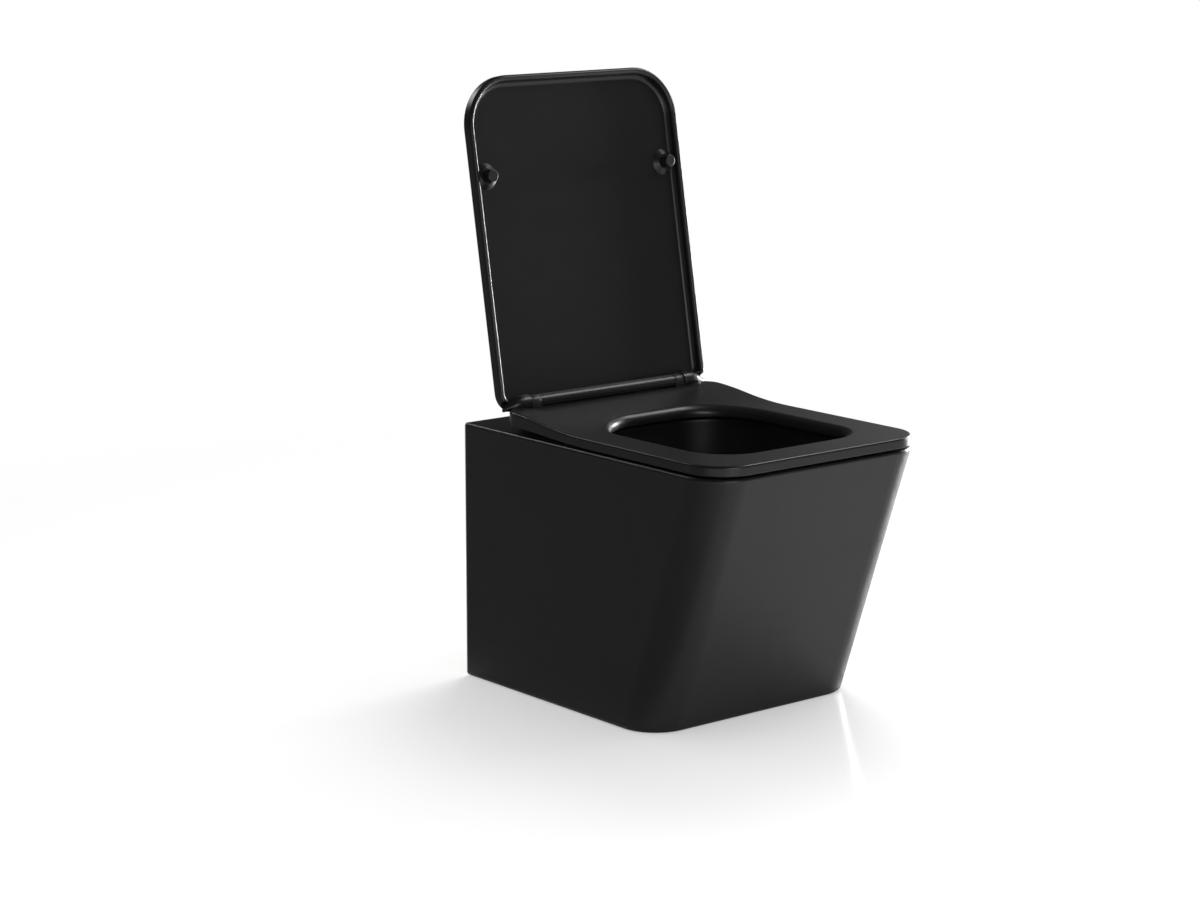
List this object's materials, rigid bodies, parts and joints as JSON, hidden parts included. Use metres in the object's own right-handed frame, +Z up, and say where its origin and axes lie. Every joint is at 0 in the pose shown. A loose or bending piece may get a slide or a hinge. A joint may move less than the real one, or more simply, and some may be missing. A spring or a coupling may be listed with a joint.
{
  "type": "wall hung toilet",
  "caption": "Matt black wall hung toilet with a skirted square pan, soft closing seat and lid on a barrel hinge, hung on two wall studs.",
  "frame": {"origin": "on the wall plane, midway between the two wall studs that carry the pan", "axes": "+X to the right seen from the front, +Y into the wall, +Z up"},
  "size_m": [0.35, 0.4984, 0.7743],
  "materials": {
    "black_ceramic": "matt glaze",
    "black_duroplast": "matt",
    "black_plastic": "satin",
    "grey_plastic": "moulded",
    "black_rubber": "matt",
    "steel": "brushed",
    "spring_steel": "drawn wire",
    "brass": "turned"
  },
  "bodies": {
    "base": {"pan_shell": "black_ceramic", "pan_deck": "black_ceramic", "pan_bowl": "black_ceramic", "pan_trap": "black_ceramic", "pan_inlet": "black_ceramic", "stud_bushes": "grey_plastic", "stud_washers": "steel", "stud_nuts": "steel", "hinge_gaskets": "black_rubber", "hinge_plate_left": "steel", "hinge_plate_right": "steel", "hinge_post_left": "steel", "hinge_post_right": "steel", "hinge_bolts": "steel", "anchor_sleeves": "black_rubber", "anchor_nuts": "brass"},
    "hinge_carriage": {"hinge_block_left": "black_plastic", "hinge_block_right": "black_plastic", "catch_clip_left": "spring_steel", "catch_clip_right": "spring_steel", "lid_pivot_pin": "steel", "seat_pivot_pin": "steel", "lid_damper_rotor": "grey_plastic", "seat_damper_rotor": "grey_plastic"},
    "button_left": {"release_button_left": "grey_plastic"},
    "button_right": {"release_button_right": "grey_plastic"},
    "seat": {"seat_ring": "black_duroplast", "seat_buffers": "black_rubber", "seat_pivot_bush": "grey_plastic", "seat_damper_case": "grey_plastic", "seat_damper_cap": "grey_plastic"},
    "lid": {"lid": "black_duroplast", "lid_buffers": "black_rubber", "lid_pivot_bush": "grey_plastic", "lid_damper_case": "grey_plastic", "lid_damper_cap": "grey_plastic"}
  },
  "joints": [
    {"name": "seat_lift_off", "type": "slide", "parent": "base", "child": "hinge_carriage", "axis": [0, 0, 1], "range_m": [0, 0.04], "deforming": ["catch_clip_left", "catch_clip_right"]},
    {"name": "seat_hinge", "type": "hinge", "parent": "hinge_carriage", "child": "seat", "pos_m": [0, -0.072, 0.1165], "axis": [-1, 0, 0], "range_deg": [0, 100]},
    {"name": "lid_hinge", "type": "hinge", "parent": "hinge_carriage", "child": "lid", "pos_m": [0, -0.072, 0.1165], "axis": [-1, 0, 0], "range_deg": [-101.9, 0]},
    {"name": "button_left_press", "type": "slide", "parent": "hinge_carriage", "child": "button_left", "axis": [0, -1, 0], "range_m": [0, 0.003], "stiffness_N_per_m": 400},
    {"name": "button_right_press", "type": "slide", "parent": "hinge_carriage", "child": "button_right", "axis": [0, -1, 0], "range_m": [0, 0.003], "stiffness_N_per_m": 400}
  ]
}
